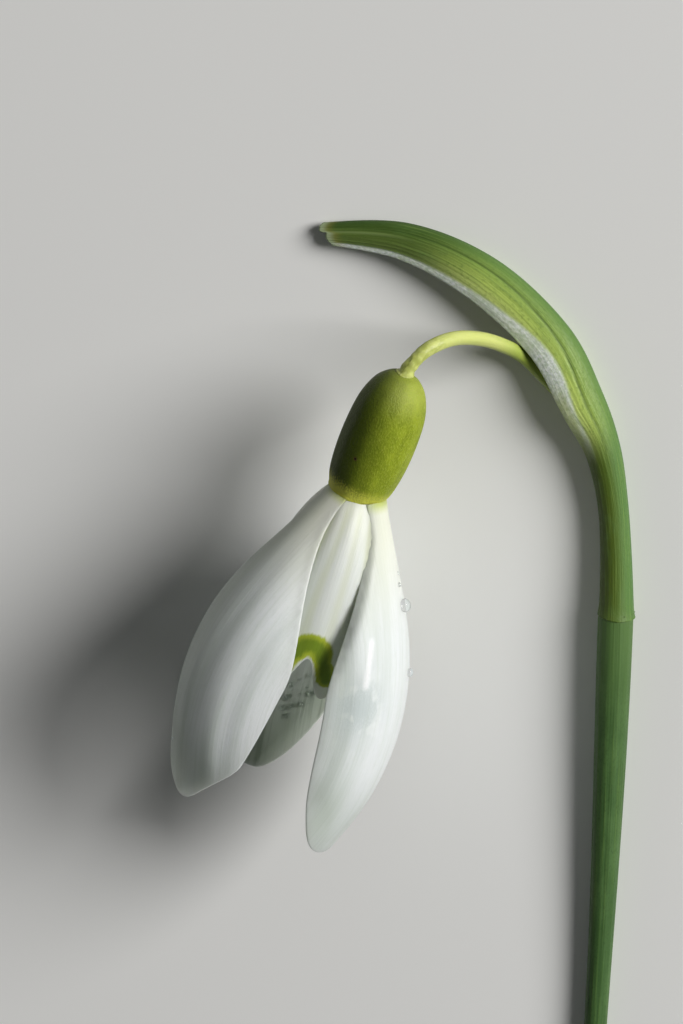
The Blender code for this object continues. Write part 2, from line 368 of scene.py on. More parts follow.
def spline(points, shares):
    """A Catmull-Rom curve through the points, at shares from 0 to 1 of its spans."""
    points = np.asarray(points, float)
    last = len(points) - 1
    padded = np.vstack([points[:1], points, points[-1:]])
    place = np.clip(shares, 0, 1) * last
    span = np.minimum(place.astype(int), last - 1)
    t = (place - span)[..., None]
    a, b, c, d = (padded[span + k] for k in range(4))
    return b + 0.5 * t * (c - a + t * (2 * a - 5 * b + 4 * c - d + t * (3 * b - 3 * c + d - a)))


def bezier(points, t):
    """Places on a plane cubic curve, and the unit tangents there."""
    a, b, c, d = (np.asarray(point, float) for point in points)
    t = t[..., None]
    s = 1 - t
    place = a * s**3 + b * 3 * s * s * t + c * 3 * s * t * t + d * t**3
    tangent = (b - a) * s * s + (c - b) * 2 * s * t + (d - c) * t * t
    return place, tangent / np.linalg.norm(tangent, axis=-1, keepdims=True)


def unit(vectors):
    return vectors / np.maximum(np.linalg.norm(vectors, axis=-1, keepdims=True), 1e-9)


def ripple(u, v, seed):
    """A smooth uneven height between about -1 and 1, the same each run."""
    total = 0.0
    for k in range(4):
        turn = 2.4 * k + seed
        drift = 1.7 * np.sin(v * (0.61 + 0.27 * k) + turn)
        total = total + np.sin(u * (1.0 + 0.43 * k) + drift + 1.9 * turn)
    return total / 2.6


def grid_normals(grid):
    return unit(np.cross(np.gradient(grid, axis=0), np.gradient(grid, axis=1)))


def arc_lengths(grid, axis):
    """Distances run along the grid's rows or columns, from its first line."""
    steps = np.linalg.norm(np.diff(grid, axis=axis), axis=-1)
    first = np.zeros_like(np.take(steps, [0], axis=axis))
    return np.concatenate([first, np.cumsum(steps, axis=axis)], axis=axis)


# Meshes


def quads(rows, columns, start, flipped):
    """Faces between the vertices of a grid, as an array of four corners each."""
    index = start + np.arange(rows * columns).reshape(rows, columns)
    corners = [index[:-1, :-1], index[1:, :-1], index[1:, 1:], index[:-1, 1:]]
    if flipped:
        corners.reverse()
    return np.stack(corners, axis=-1).reshape(-1, 4)


def grid_uv(rows, columns, left, right):
    """A flat place for each vertex of a grid, in its own share of the map."""
    u = np.linspace(left, right, columns)
    v = np.linspace(UV_MARGIN, 1 - UV_MARGIN, rows)
    return np.stack(np.meshgrid(u, v), axis=-1).reshape(-1, 2)


def joined(grids):
    """The vertices, faces, places on the map and fields of all the grids."""
    vertices, faces, uvs, fields = [], [], [], {}
    start = 0
    for number, (grid, flipped, grid_fields) in enumerate(grids):
        rows, columns = grid.shape[:2]
        vertices.append(grid.reshape(-1, 3))
        faces.append(quads(rows, columns, start, flipped))
        left = number / len(grids) + UV_MARGIN
        uvs.append(grid_uv(rows, columns, left, left + 1 / len(grids) - 2 * UV_MARGIN))
        for field, values in grid_fields.items():
            size = 3 if np.ndim(values) == 3 else 1
            fields.setdefault(field, []).append(np.reshape(values, (-1, size)))
        start += rows * columns
    fields = {field: np.concatenate(values) for field, values in fields.items()}
    return np.concatenate(vertices), np.concatenate(faces), np.concatenate(uvs), fields


def make_mesh(name, vertices, faces, uvs, fields):
    """A smooth mesh in metres, in which vertices at the same place become one."""
    mesh = bpy.data.meshes.new(name)
    mesh.from_pydata(vertices * MM, [], faces.tolist())
    for field, values in fields.items():
        kind, entry = ("FLOAT_VECTOR", "vector") if values.shape[1] == 3 else ("FLOAT", "value")
        attribute = mesh.attributes.new(field, kind, "POINT")
        attribute.data.foreach_set(entry, values.ravel().astype(np.float32))
    layer = mesh.uv_layers.new(name="OFBake")
    layer.data.foreach_set("uv", uvs[faces.ravel()].ravel().astype(np.float32))
    bm = bmesh.new()
    bm.from_mesh(mesh)
    bmesh.ops.remove_doubles(bm, verts=bm.verts, dist=MERGE_DISTANCE * MM)
    bmesh.ops.dissolve_degenerate(bm, edges=bm.edges, dist=0.1 * MERGE_DISTANCE * MM)
    bmesh.ops.recalc_face_normals(bm, faces=bm.faces)
    bm.to_mesh(mesh)
    bm.free()
    mesh.shade_smooth()
    return mesh


def add_object(name, data):
    made = bpy.data.objects.new(name, data)
    bpy.context.collection.objects.link(made)
    return made


def add_piece(name, node, material, grids, place):
    """Makes one piece out of grids, joined where their edges meet.

    Each grid is its places, whether its faces are flipped, and its fields: an array of the same
    shape for every field the material reads. place puts the working places into the row frame.
    """
    vertices, faces, uvs, fields = joined(grids)
    mesh = make_mesh(name, place(vertices), faces, uvs, fields)
    mesh.materials.append(material)
    piece = add_object(name, mesh)
    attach(piece, "root")
    if node:
        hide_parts(node)


def sheet_grids(surface, wall, edge_distance, rim_width, fields):
    """The outer and the inner side of a thin sheet with a rounded rim, from its outer side.

    The wall may vary, and the two sides meet where the edge distance is 0.
    """
    normals = grid_normals(surface)
    near = np.clip(edge_distance / rim_width, 0, 1)
    fullness = np.sqrt(np.maximum(1 - (1 - near) ** 2, 0))
    middle = surface - normals * (wall / 2)[..., None]
    half = normals * (wall / 2 * fullness)[..., None]
    across = arc_lengths(surface, 1)
    across = across - across[:, across.shape[1] // 2, None]
    along = np.broadcast_to(arc_lengths(surface, 0)[:, surface.shape[1] // 2, None], across.shape)
    grids = []
    for inside, offset in ((0.0, half), (1.0, -half)):
        grain = np.stack([across, along, np.full_like(across, inside * INNER_SIDE_GRAIN)], -1)
        values = {**fields, "grain": grain, "inside": np.full_like(across, inside)}
        grids.append((middle + offset, inside == 1.0, values))
    return grids


def sections(path):
    """Two unit directions across a path at each of its places, that twist as little as can be."""
    tangents = unit(np.gradient(path, axis=0))
    side = np.array((1.0, 0.0, 0.0))
    if abs(tangents[0, 2]) < 0.9:
        side = np.cross(tangents[0], (0.0, 0.0, 1.0))
    sides = []
    for tangent in tangents:
        side = unit(side - tangent * side.dot(tangent))
        sides.append(side)
    sides = np.array(sides)
    return sides, np.cross(sides, tangents)


def tube_grid(path, radii, turns, dome=None):
    """A closed grid of rings round a path, and its grain. radii has one for each ring and turn.

    With a dome, as a share of the radius, its ends are closed too.
    """
    if dome is not None:
        path, radii = capped(path, radii, dome)
    sides, ups = sections(path)
    ring = sides[:, None] * np.cos(turns)[:, None] + ups[:, None] * np.sin(turns)[:, None]
    grid = path[:, None] + ring * radii[..., None]
    run = np.broadcast_to(arc_lengths(path[:, None], 0), radii.shape)
    grain = np.stack([radii * np.cos(turns), radii * np.sin(turns), run], -1)
    return grid, grain


def full_turn(count):
    return np.linspace(0, 2 * math.pi, count + 1)


def capped(path, radii, dome):
    """Adds the rings that close both ends of a path's tube."""
    tangents = unit(np.gradient(path, axis=0))
    bulge = np.sqrt(1 - CAP_RINGS**2)[:, None] * dome
    first = path[0] - tangents[0] * bulge * radii[0].mean()
    last = path[-1] + tangents[-1] * bulge * radii[-1].mean()
    shrink = CAP_RINGS[:, None]
    path = np.vstack([first[::-1], path, last])
    radii = np.vstack([(shrink * radii[0])[::-1], radii, shrink * radii[-1]])
    return path, radii


# Places of the node and the head, from the frame


def node_place():
    """The node in the row frame, from the scape's end there, in millimetres."""
    slope = math.atan(SCAPE_SLOPE)
    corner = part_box("scape")[1] / MM
    edge = SCAPE_NODE_RADIUS * np.array([math.cos(slope), math.sin(slope), 0.0])
    return np.array([corner.x, corner.y, 0.0]) - edge


def head_axes():
    """Columns are the head's own axes."""
    turn = Matrix.Rotation(-HEAD_TURN, 3, "Z") @ Matrix.Rotation(math.radians(90) + HEAD_DROOP, 3, "X")
    return np.array(turn)


def head_place():
    """The base of the perianth in the row frame, from the middle of the style."""
    low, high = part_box("style")
    middle = np.array((low + high) / 2) / MM
    return middle - head_axes()[:, 2] * STYLE_MIDDLE


NODE_PLACE = node_place()
HEAD_AXES = head_axes()
HEAD_PLACE = head_place()


def from_node(places):
    return places + NODE_PLACE


def from_head(places):
    return places @ HEAD_AXES.T + HEAD_PLACE


# Materials


class Look:
    """A procedural material, put together by short calls. Noise scales are in cells per mm."""

    def __init__(self, name, specular=0.5):
        self.material = bpy.data.materials.new(name)
        self.material.use_nodes = True
        self.nodes = self.material.node_tree.nodes
        self.shader = self.nodes["Principled BSDF"]
        self.put("Specular IOR Level", specular)

    def put(self, socket, value):
        """Sets one of the shader's sockets to a number, a colour or another node's output."""
        self.feed(self.shader.inputs[socket], value)

    def feed(self, socket, value):
        if isinstance(value, bpy.types.NodeSocket):
            self.material.node_tree.links.new(value, socket)
        elif socket.type == "RGBA":
            socket.default_value = (*value, 1.0)
        else:
            socket.default_value = value

    def node(self, kind, output, inputs, **settings):
        made = self.nodes.new("ShaderNode" + kind)
        for name, value in settings.items():
            setattr(made, name, value)
        for socket, value in inputs.items():
            self.feed(made.inputs[socket], value)
        return made.outputs[output]

    def field(self, name):
        output = "Vector" if name == "grain" else "Fac"
        return self.node("Attribute", output, {}, attribute_name=name)

    def math(self, operation, *values):
        inputs = dict(enumerate(values))
        return self.node("Math", "Value", inputs, operation=operation)

    def band(self, value, start, end, low=0.0, high=1.0):
        """Rises smoothly from low to high as the value goes from start to end."""
        inputs = {"Value": value, "From Min": start, "From Max": end, "To Min": low, "To Max": high}
        return self.node("MapRange", "Result", inputs, interpolation_type="SMOOTHSTEP")

    def times(self, first, second):
        return self.math("MULTIPLY", first, second)

    def mix(self, factor, first, second):
        """The first colour where the factor is 0, and the second where it is 1."""
        inputs = {0: factor, 6: first, 7: second}
        return self.node("Mix", 2, inputs, data_type="RGBA")

    def stretched(self, scale):
        """The grain's places, with each axis scaled."""
        inputs = {0: self.field("grain"), 1: scale}
        return self.node("VectorMath", "Vector", inputs, operation="MULTIPLY")

    def noise(self, scale, detail=3.0):
        """Noise in 0 to 1, with a scale for each of the grain's axes."""
        inputs = {"Vector": self.stretched(scale), "Scale": 1.0, "Detail": detail}
        return self.node("TexNoise", "Fac", inputs)

    def cells(self, scale, output):
        """Cells with a point in each: the distance from it, or the cell's own random colour."""
        inputs = {"Vector": self.stretched(scale), "Scale": 1.0}
        return self.node("TexVoronoi", output, inputs)

    def base(self, tone):
        """Sets the base colour, which paint can go over."""
        self.tone = tone
        self.put("Base Color", tone)

    def paint(self, factor, colour):
        """Lays a colour over the base colour so far, wholly where the factor is 1."""
        self.base(self.mix(factor, self.tone, colour))

    def ramp(self, value, stops):
        """A colour that runs through the stops, each a place from 0 to 1 and a colour."""
        made = self.nodes.new("ShaderNodeValToRGB")
        self.feed(made.inputs["Fac"], value)
        elements = made.color_ramp.elements
        while len(elements) < len(stops):
            elements.new(1.0)
        for element, (position, colour) in zip(elements, stops):
            element.position = position
            element.color = (*colour, 1.0)
        return made.outputs["Color"]

    def spot(self, place, size):
        """1 near a place of the grain and 0 from twice the size on."""
        inputs = {0: self.field("grain"), 1: place}
        distance = self.node("VectorMath", "Value", inputs, operation="DISTANCE")
        return self.band(distance, size, 2 * size, 1.0, 0.0)

    def roughen(self, noise, low, high):
        """Roughness from low to high over the middle of a noise."""
        self.put("Roughness", self.band(noise, 0.3, 0.7, low, high))

    def relief(self, height, depth):
        """Bump from a height in 0 to 1, with its depth in millimetres."""
        inputs = {"Height": height, "Strength": 1.0, "Distance": depth * MM}
        self.put("Normal", self.node("Bump", "Normal", inputs))

    def glow_through(self, weight, radius, scale):
        """Light that spreads under the skin, with the scale in millimetres."""
        self.put("Subsurface Weight", weight)
        self.put("Subsurface Radius", radius)
        self.put("Subsurface Scale", scale * MM)


TEPAL_WHITE = (0.81, 0.85, 0.86)
TEPAL_SHADE = (0.63, 0.69, 0.64)
TEPAL_CREAM = (0.81, 0.83, 0.64)
TEPAL_GREEN = (0.52, 0.60, 0.16)
TEPAL_PAINTED_SHADE = (0.40, 0.45, 0.39)
TEPAL_INSIDE_PAINTED_SHADE = (0.46, 0.52, 0.42)
INSIDE_STREAK = (0.26, 0.31, 0.25)
TEPAL_WET = (0.50, 0.56, 0.56)
TEPAL_GLINT = (0.93, 0.96, 0.97)
TEPAL_TIP = (0.60, 0.64, 0.62)
INNER_TONE = (0.78, 0.83, 0.70)
INNER_CREASE_PAINTED_SHADE = (0.62, 0.66, 0.40)
INNER_MARGIN_PAINTED_SHADE = (0.60, 0.65, 0.42)
MARK_EDGE = (0.40, 0.47, 0.04)
MARK_GREEN = (0.19, 0.28, 0.02)
SPECK_BROWN = (0.30, 0.20, 0.06)
SPECK_SCALE = (0.42, 0.42, 0.42)


def petal_base(look):
    """White with soft lengthwise veins, creamy towards the claw and green at its root."""
    broad = look.noise((0.8, 0.08, 1.0))
    veins = look.noise((5.0, 0.16, 1.0), detail=4.0)
    fine = look.noise((12.0, 1.5, 1.0))
    look.base(look.mix(look.band(broad, 0.38, 0.70, 0.0, 0.55), TEPAL_WHITE, TEPAL_SHADE))
    look.paint(look.band(veins, 0.45, 0.75, 0.0, 0.38), TEPAL_SHADE)
    look.paint(look.band(fine, 0.5, 0.8, 0.0, 0.35), TEPAL_SHADE)
    along = look.field("along")
    look.paint(look.band(along, 0.0, 0.4, 0.8, 0.0), TEPAL_CREAM)
    look.paint(look.band(along, 0.0, 0.035, 1.0, 0.0), TEPAL_GREEN)
    return veins


def petal_skin(look, veins, wet=0.0):
    """Fine relief over the veins, and a gloss that is stronger where the blade is wet."""
    skin = look.noise((14.0, 4.0, 9.0))
    dry = look.band(skin, 0.3, 0.7, 0.36, 0.52)
    look.put("Roughness", look.math("SUBTRACT", dry, look.times(wet, 0.24)))
    height = look.math("ADD", look.times(veins, 0.75), look.times(skin, 0.25))
    look.relief(height, 0.03)


def add_specks(look):
    """Tiny brown specks, in about a fifth of the cells."""
    near = look.band(look.cells(SPECK_SCALE, "Distance"), 0.02, 0.045, 1.0, 0.0)
    draw = look.math("FRACT", look.times(look.cells(SPECK_SCALE, "Color"), 7.3))
    look.paint(look.times(near, look.band(draw, 0.80, 0.82)), SPECK_BROWN)


def outer_tepal_material():
    look = Look("outer_tepal", specular=0.4)
    veins = petal_base(look)
    # painted shade: darker and greener on one side of each outer tepal and towards its tip
    look.paint(look.times(look.field("painted_shade"), 0.6), TEPAL_PAINTED_SHADE)
    inside = look.field("inside")
    # painted shade: the inner side, inside the bell, is darker
    look.paint(look.times(inside, 0.5), TEPAL_INSIDE_PAINTED_SHADE)
    deep = look.noise((3.2, 0.10, 1.0), detail=4.0)
    look.paint(look.times(inside, look.band(deep, 0.48, 0.66, 0.0, 0.5)), INSIDE_STREAK)
    blotch = look.noise((0.8, 0.5, 1.0), detail=4.0)
    wet = look.times(look.field("wet"), look.band(blotch, 0.38, 0.50))
    look.paint(look.times(wet, 0.7), TEPAL_WET)
    streak = look.field("streak")
    look.paint(streak, TEPAL_GLINT)
    look.paint(look.times(look.field("tip"), 0.5), TEPAL_TIP)
    add_specks(look)
    petal_skin(look, veins, look.math("MAXIMUM", wet, streak))
    look.glow_through(0.75, (1.0, 1.0, 0.94), 0.9)
    return look.material


def inner_tepal_material():
    look = Look("inner_tepal", specular=0.4)
    veins = petal_base(look)
    look.paint(0.5, INNER_TONE)
    # painted shade in the valleys between the ribs
    look.paint(look.times(look.field("crease"), 0.3), INNER_CREASE_PAINTED_SHADE)
    # painted shade: greener and darker towards the margins, under the outer tepals
    look.paint(look.times(look.field("margin"), 0.6), INNER_MARGIN_PAINTED_SHADE)
    ragged = look.times(look.math("SUBTRACT", look.noise((4.0, 1.6, 1.0)), 0.5), 0.3)
    mark = look.math("ADD", look.field("mark"), ragged)
    look.paint(look.band(mark, 0.3, 0.55), MARK_EDGE)
    look.paint(look.band(mark, 0.55, 0.95), MARK_GREEN)
    petal_skin(look, veins)
    look.glow_through(0.7, (1.0, 1.0, 0.86), 0.9)
    return look.material


OVARY_DEEP = (0.21, 0.27, 0.012)
OVARY_BRIGHT = (0.29, 0.36, 0.02)
OVARY_TOP = (0.42, 0.47, 0.10)
OVARY_PIMPLES = (0.42, 0.49, 0.06)
OVARY_PAINTED_SHADE = (0.045, 0.07, 0.004)
OVARY_FRINGE = (0.68, 0.70, 0.09)
PINHOLE_RIM = (0.12, 0.08, 0.02)
PINHOLE_CORE = (0.01, 0.008, 0.004)


def ovary_material():
    look = Look("ovary", specular=0.2)
    mottle = look.noise((1.6, 1.6, 0.8), detail=4.0)
    pimples = look.noise((11.0, 11.0, 6.0), detail=2.0)
    look.base(look.mix(look.band(mottle, 0.35, 0.7), OVARY_DEEP, OVARY_BRIGHT))
    along = look.field("along")
    look.paint(look.band(along, 0.75, 1.0, 0.0, 0.5), OVARY_TOP)
    look.paint(look.band(pimples, 0.45, 0.75, 0.0, 0.5), OVARY_PIMPLES)
    ragged = look.math("ADD", along, look.band(pimples, 0.3, 0.7, -0.02, 0.02))
    # painted shade: darker olive on one side of the ovary
    look.paint(look.times(look.field("painted_shade"), 0.9), OVARY_PAINTED_SHADE)
    look.paint(look.band(ragged, 0.08, 0.20, 0.95, 0.0), OVARY_FRINGE)
    look.paint(look.spot(PINHOLE, 0.09), PINHOLE_RIM)
    look.paint(look.spot(PINHOLE, 0.05), PINHOLE_CORE)
    look.roughen(pimples, 0.58, 0.44)
    look.relief(pimples, 0.05)
    look.glow_through(0.1, (0.6, 1.0, 0.15), 0.5)
    return look.material


PEDICEL_PALE = (0.60, 0.65, 0.20)
PEDICEL_EARLY = (0.34, 0.44, 0.07)
PEDICEL_LINES = (0.40, 0.47, 0.10)
PEDICEL_BLOTCH = (0.38, 0.43, 0.08)


def pedicel_material():
    look = Look("pedicel", specular=0.4)
    lines = look.noise((6.0, 6.0, 0.4))
    spots = look.noise((2.6, 2.6, 2.2), detail=4.0)
    look.base(look.mix(look.field("early"), PEDICEL_PALE, PEDICEL_EARLY))
    look.paint(look.band(lines, 0.5, 0.75, 0.0, 0.35), PEDICEL_LINES)
    blotches = look.times(look.field("late"), look.band(spots, 0.45, 0.60, 0.0, 0.6))
    look.paint(blotches, PEDICEL_BLOTCH)
    look.roughen(spots, 0.5, 0.34)
    look.relief(look.noise((8.0, 8.0, 3.5)), 0.02)
    look.glow_through(0.3, (0.9, 1.0, 0.35), 0.5)
    return look.material


# The tube's own greens, with painted shade that darkens them away from the keel
TUBE_BANDS_AND_SHADE = [  # by the share of a half turn from the keel
    (0.00, (0.085, 0.19, 0.05)),
    (0.25, (0.10, 0.20, 0.045)),
    (0.38, (0.09, 0.16, 0.022)),
    (0.50, (0.08, 0.125, 0.012)),
    (0.80, (0.065, 0.10, 0.012)),
]
CHANNEL_BANDS = [
    (0.00, (0.10, 0.20, 0.05)),
    (0.15, (0.14, 0.25, 0.05)),
    (0.30, (0.28, 0.41, 0.08)),
    (0.42, (0.46, 0.59, 0.13)),
    (0.55, (0.54, 0.63, 0.20)),
]
SPATHE_PAINTED_SHADE = (0.035, 0.08, 0.01)
SPATHE_LINES = (0.21, 0.32, 0.07)
SPATHE_GRAINS = (0.07, 0.14, 0.02)
SPATHE_PATCHES = (0.13, 0.24, 0.07)
SPATHE_BASE = (0.12, 0.20, 0.04)
SEAM_GREEN = (0.32, 0.42, 0.16)
SPATHE_TIP_PALE = (0.42, 0.50, 0.30)
SPATHE_TAN = (0.36, 0.30, 0.07)
PAPER_GREEN = (0.60, 0.69, 0.57)
PAPER_WHITE = (0.90, 0.95, 0.90)
PAPER_PATCHES = (0.52, 0.62, 0.42)
PAPER_STALK_PAINTED_SHADOW = (0.38, 0.45, 0.09)


def spathe_material():
    look = Look("spathe", specular=0.3)
    turn = look.field("turn")
    lines = look.noise((9.0, 9.0, 0.22), detail=4.0)
    grains = look.noise((9.0, 9.0, 5.0))
    patches = look.noise((1.2, 1.2, 0.7), detail=4.0)
    closed = look.field("closed")
    look.base(look.mix(closed, look.ramp(turn, CHANNEL_BANDS), look.ramp(turn, TUBE_BANDS_AND_SHADE)))
    # painted shade: darker towards the tip of the sheath, where less light falls
    look.paint(look.band(look.field("along"), 0.73, 0.87, 0.0, 0.85), SPATHE_PAINTED_SHADE)
    look.paint(look.band(lines, 0.50, 0.72, 0.0, 0.45), SPATHE_LINES)
    look.paint(look.band(grains, 0.50, 0.72, 0.0, 0.3), SPATHE_GRAINS)
    look.paint(look.band(patches, 0.5, 0.8, 0.0, 0.3), SPATHE_PATCHES)
    # painted shade in the groove
    look.paint(look.field("groove"), SPATHE_PAINTED_SHADE)
    look.paint(look.field("base"), SPATHE_BASE)
    paper = look.mix(look.band(grains, 0.3, 0.7), PAPER_GREEN, PAPER_WHITE)
    paper = look.mix(look.band(patches, 0.4, 0.7, 0.0, 0.5), paper, PAPER_PATCHES)
    # painted shadow of the pedicel, seen through the papery margin
    paper = look.mix(look.field("stalk"), paper, PAPER_STALK_PAINTED_SHADOW)
    papery = look.times(look.field("membrane"), look.math("SUBTRACT", 1.0, closed))
    look.paint(papery, paper)
    look.paint(look.field("seam"), SEAM_GREEN)
    look.paint(look.field("pale_tip"), SPATHE_TIP_PALE)
    look.paint(look.field("tan"), SPATHE_TAN)
    look.roughen(grains, 0.42, 0.58)
    height = look.math("ADD", look.times(lines, 0.7), look.times(grains, 0.3))
    look.relief(height, 0.06)
    look.glow_through(0.12, (0.7, 1.0, 0.3), 0.4)
    return look.material


# The scape's own greens, darkened as painted shade
SCAPE_DEEP = (0.05, 0.115, 0.03)
SCAPE_BRIGHT = (0.075, 0.155, 0.045)
SCAPE_LINES = (0.11, 0.20, 0.045)
SCAPE_GRAINS = (0.03, 0.07, 0.015)
SCAPE_TOP = (0.09, 0.17, 0.045)
PITH_GREEN = (0.50, 0.58, 0.26)
PITH_PALE = (0.66, 0.72, 0.46)


def scape_material():
    look = Look("scape", specular=0.3)
    lines = look.noise((7.0, 7.0, 0.12), detail=4.0)
    grains = look.noise((9.0, 9.0, 5.0))
    patches = look.noise((1.0, 1.0, 0.35), detail=4.0)
    along = look.field("along")
    look.base(look.mix(look.band(patches, 0.35, 0.7), SCAPE_DEEP, SCAPE_BRIGHT))
    look.paint(look.band(lines, 0.45, 0.75, 0.0, 0.5), SCAPE_LINES)
    look.paint(look.band(grains, 0.50, 0.72, 0.0, 0.4), SCAPE_GRAINS)
    # lighter towards the node, partly painted light
    look.paint(look.band(along, 0.0, 0.22, 0.9, 0.0), SCAPE_TOP)
    pith = look.mix(look.band(patches, 0.35, 0.65), PITH_GREEN, PITH_PALE)
    look.paint(look.field("cut"), pith)
    look.roughen(grains, 0.42, 0.58)
    look.relief(lines, 0.05)
    look.glow_through(0.08, (0.6, 1.0, 0.3), 0.4)
    return look.material


ANTHER_ORANGE = (0.80, 0.40, 0.05)
ANTHER_YELLOW = (0.88, 0.56, 0.14)
FILAMENT_PALE = (0.78, 0.82, 0.62)


def stamen_material():
    look = Look("stamen")
    grain = look.noise((9.0, 9.0, 6.0), detail=4.0)
    look.base(look.mix(look.band(grain, 0.35, 0.7), ANTHER_ORANGE, ANTHER_YELLOW))
    look.paint(look.band(look.field("along"), 0.20, 0.27, 1.0, 0.0), FILAMENT_PALE)
    look.roughen(grain, 0.62, 0.48)
    look.relief(grain, 0.04)
    return look.material


STYLE_GREEN = (0.72, 0.76, 0.52)
STYLE_PALE = (0.82, 0.84, 0.66)


def style_material():
    look = Look("style")
    grain = look.noise((6.0, 6.0, 1.5))
    look.base(look.mix(grain, STYLE_GREEN, STYLE_PALE))
    look.roughen(grain, 0.52, 0.4)
    look.relief(grain, 0.02)
    look.glow_through(0.3, (1.0, 1.0, 0.7), 0.4)
    return look.material


def dew_material():
    look = Look("dew")
    look.base((0.96, 0.98, 1.0))
    look.put("Roughness", 0.02)
    look.put("IOR", 1.33)
    look.put("Transmission Weight", 1.0)
    return look.material


def floor_material():
    look = Look("floor")
    look.base(FLOOR_COLOUR)
    look.put("Roughness", 0.9)
    return look.material


# Pieces


def tepal_surface(profile, cup, azimuth, spread, along, across, lean):
    """The outer side of a tepal, in the head's frame, as in the part's design."""
    place, tangent = bezier(profile, along)
    angle = across * spread / cup
    sink = cup * (1 - np.cos(angle))
    depth = place[..., 0] + tangent[..., 1] * sink
    radius = place[..., 1] - tangent[..., 0] * sink
    sideways = cup * np.sin(angle) + lean
    x = radius * math.sin(azimuth) + sideways * math.cos(azimuth)
    y = radius * math.cos(azimuth) - sideways * math.sin(azimuth)
    return np.stack([x, y, depth], -1)


def blade_grid(rows, columns):
    """Shares along a blade and across it, close together at the tip and the edges."""
    along = np.sin(math.pi / 2 * np.linspace(0, 1, rows + 1))
    across = np.sin(math.pi / 2 * np.linspace(-1, 1, columns + 1))
    return np.meshgrid(along, across, indexing="ij")


def beyond_widest(along):
    """The share of the way from the widest place to the tip."""
    return np.clip((along - OUTER_WIDEST_AT) / (1 - OUTER_WIDEST_AT), 0, 1)


def tip_end(along):
    """Rises to 1 over the last part of the tip."""
    return rise(along, OUTER_TIP_FROM, 1 - OUTER_TIP_FROM)


def outer_tepal_spread(tepal, along, across):
    """Half the blade's width at each place, since the two sides differ."""
    trim_left, trim_right = tepal.claw_trims
    trim = trim_left * smoothstep(-across) + trim_right * smoothstep(across)
    claw = blend(OUTER_CLAW, tepal.half_width, smoothstep(along / OUTER_WIDEST_AT))
    claw = claw * (1 - trim * bell(along, 0.0, 0.18))
    beyond = beyond_widest(along)
    power = blend(*tepal.tip_powers, smoothstep((across + 1) / 2))
    blade = tepal.half_width * np.maximum(1 - beyond**tepal.fullness, 0) ** power
    return np.where(beyond > 0, blade, claw) * (1 - tepal.tip_taper * tip_end(along))


def outer_tepal_relief(tepal, along, across, spread):
    """How far the ribs and the rolled hems stand off the blade."""
    offset = across * spread
    wander = ripple(along * 3, along, tepal.seed)
    ribs = tepal.ribs * ripple(offset * 1.15, along * 2.0, tepal.seed)
    ribs += 0.25 * tepal.ribs * np.cos(offset * 4.2 + tepal.seed + wander)
    ribs *= smoothstep(along / 0.2) * smoothstep((1 - along) / 0.12) * (1 - 0.6 * across**4)
    edge = (1 - np.abs(across)) * spread
    serration = 1 + 0.35 * ripple(along * 260, across, tepal.seed)
    hem = np.where(across < 0, *tepal.hems) * bell(edge, 0.0, 0.45) * serration
    hem *= smoothstep(along / 0.12) * smoothstep((0.6 - along) / 0.3)
    return ribs + hem


def outer_tepal_wet(tepal, along, across):
    """Where rain has left the blade glassy, and where a streak of it stands."""
    patch = bell(along, 0.56, 0.09) * bell(across, -0.58, 0.32)
    streak = bell(across, -0.556, 0.04) * rise(along, 0.35, 0.02) * smoothstep((0.51 - along) / 0.02)
    return tepal.wet * patch, tepal.wet * streak


def outer_tepal_grids(tepal):
    along, across = blade_grid(OUTER_ROWS, OUTER_COLUMNS)
    profile = [OUTER_ROOT, OUTER_SHOULDER, OUTER_BELLY, (tepal.reach, tepal.tip_radius)]
    spread = outer_tepal_spread(tepal, along, across)
    cup = blend(OUTER_ROOT_CUP, OUTER_CUP, smoothstep(along / OUTER_CUPPED_AT))
    sweep = tepal.tip_sweep * beyond_widest(along) ** 2 + tepal.tip_hook * tip_end(along)
    lean = tepal.lean * along**2 + sweep
    surface = tepal_surface(profile, cup, math.radians(tepal.azimuth), spread, along, across, lean)

    wet, streak = outer_tepal_wet(tepal, along, across)
    relief = outer_tepal_relief(tepal, along, across, spread) + STREAK_HEIGHT * streak
    surface = surface + grid_normals(surface) * relief[..., None]
    edge = (1 - np.abs(across)) * spread
    wall = OUTER_WALL * blend(EDGE_SHARE, 1, smoothstep(edge / OUTER_EDGE_WIDTH))
    fields = {
        "along": along,
        "wet": wet,
        "streak": streak,
        "tip": rise(along, 0.985, 0.015),
        # painted shade on the side up to shaded across, and towards the tip
        "painted_shade": np.clip(smoothstep(tepal.shaded - across) + 0.8 * rise(along, 0.75, 0.2), 0, 1),
    }
    return sheet_grids(surface, wall, edge, RIM_WIDTH, fields)


def cut_back(across):
    """How far an inner tepal's far edge is cut back, as a share: a notch and rounded corners."""
    return INNER_NOTCH * bell(across, 0.0, INNER_NOTCH_WIDTH) + INNER_CORNER * across**4


